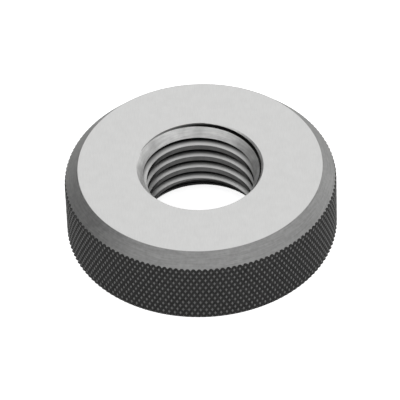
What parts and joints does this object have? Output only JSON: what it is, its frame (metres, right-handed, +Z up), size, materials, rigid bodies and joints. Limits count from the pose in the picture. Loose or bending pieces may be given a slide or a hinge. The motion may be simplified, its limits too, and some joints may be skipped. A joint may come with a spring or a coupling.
{
  "type": "thread ring gauge",
  "caption": "Thick steel ring with a diamond-knurled rim, chamfered edges, flat ground faces and an internal right-hand thread for checking screws.",
  "frame": {"origin": "centre of the lower face, on the bore axis", "axes": "+Z up along the bore axis, from the lower face to the face with the wide chamfer; -Y towards the front view, X to the right"},
  "size_m": [0.045, 0.045, 0.014],
  "materials": {
    "gauge_steel": "hardened steel, fine-ground faces and bore, darker knurled rim"
  },
  "bodies": {
    "root": {"gauge_ring": "gauge_steel"}
  },
  "joints": []
}
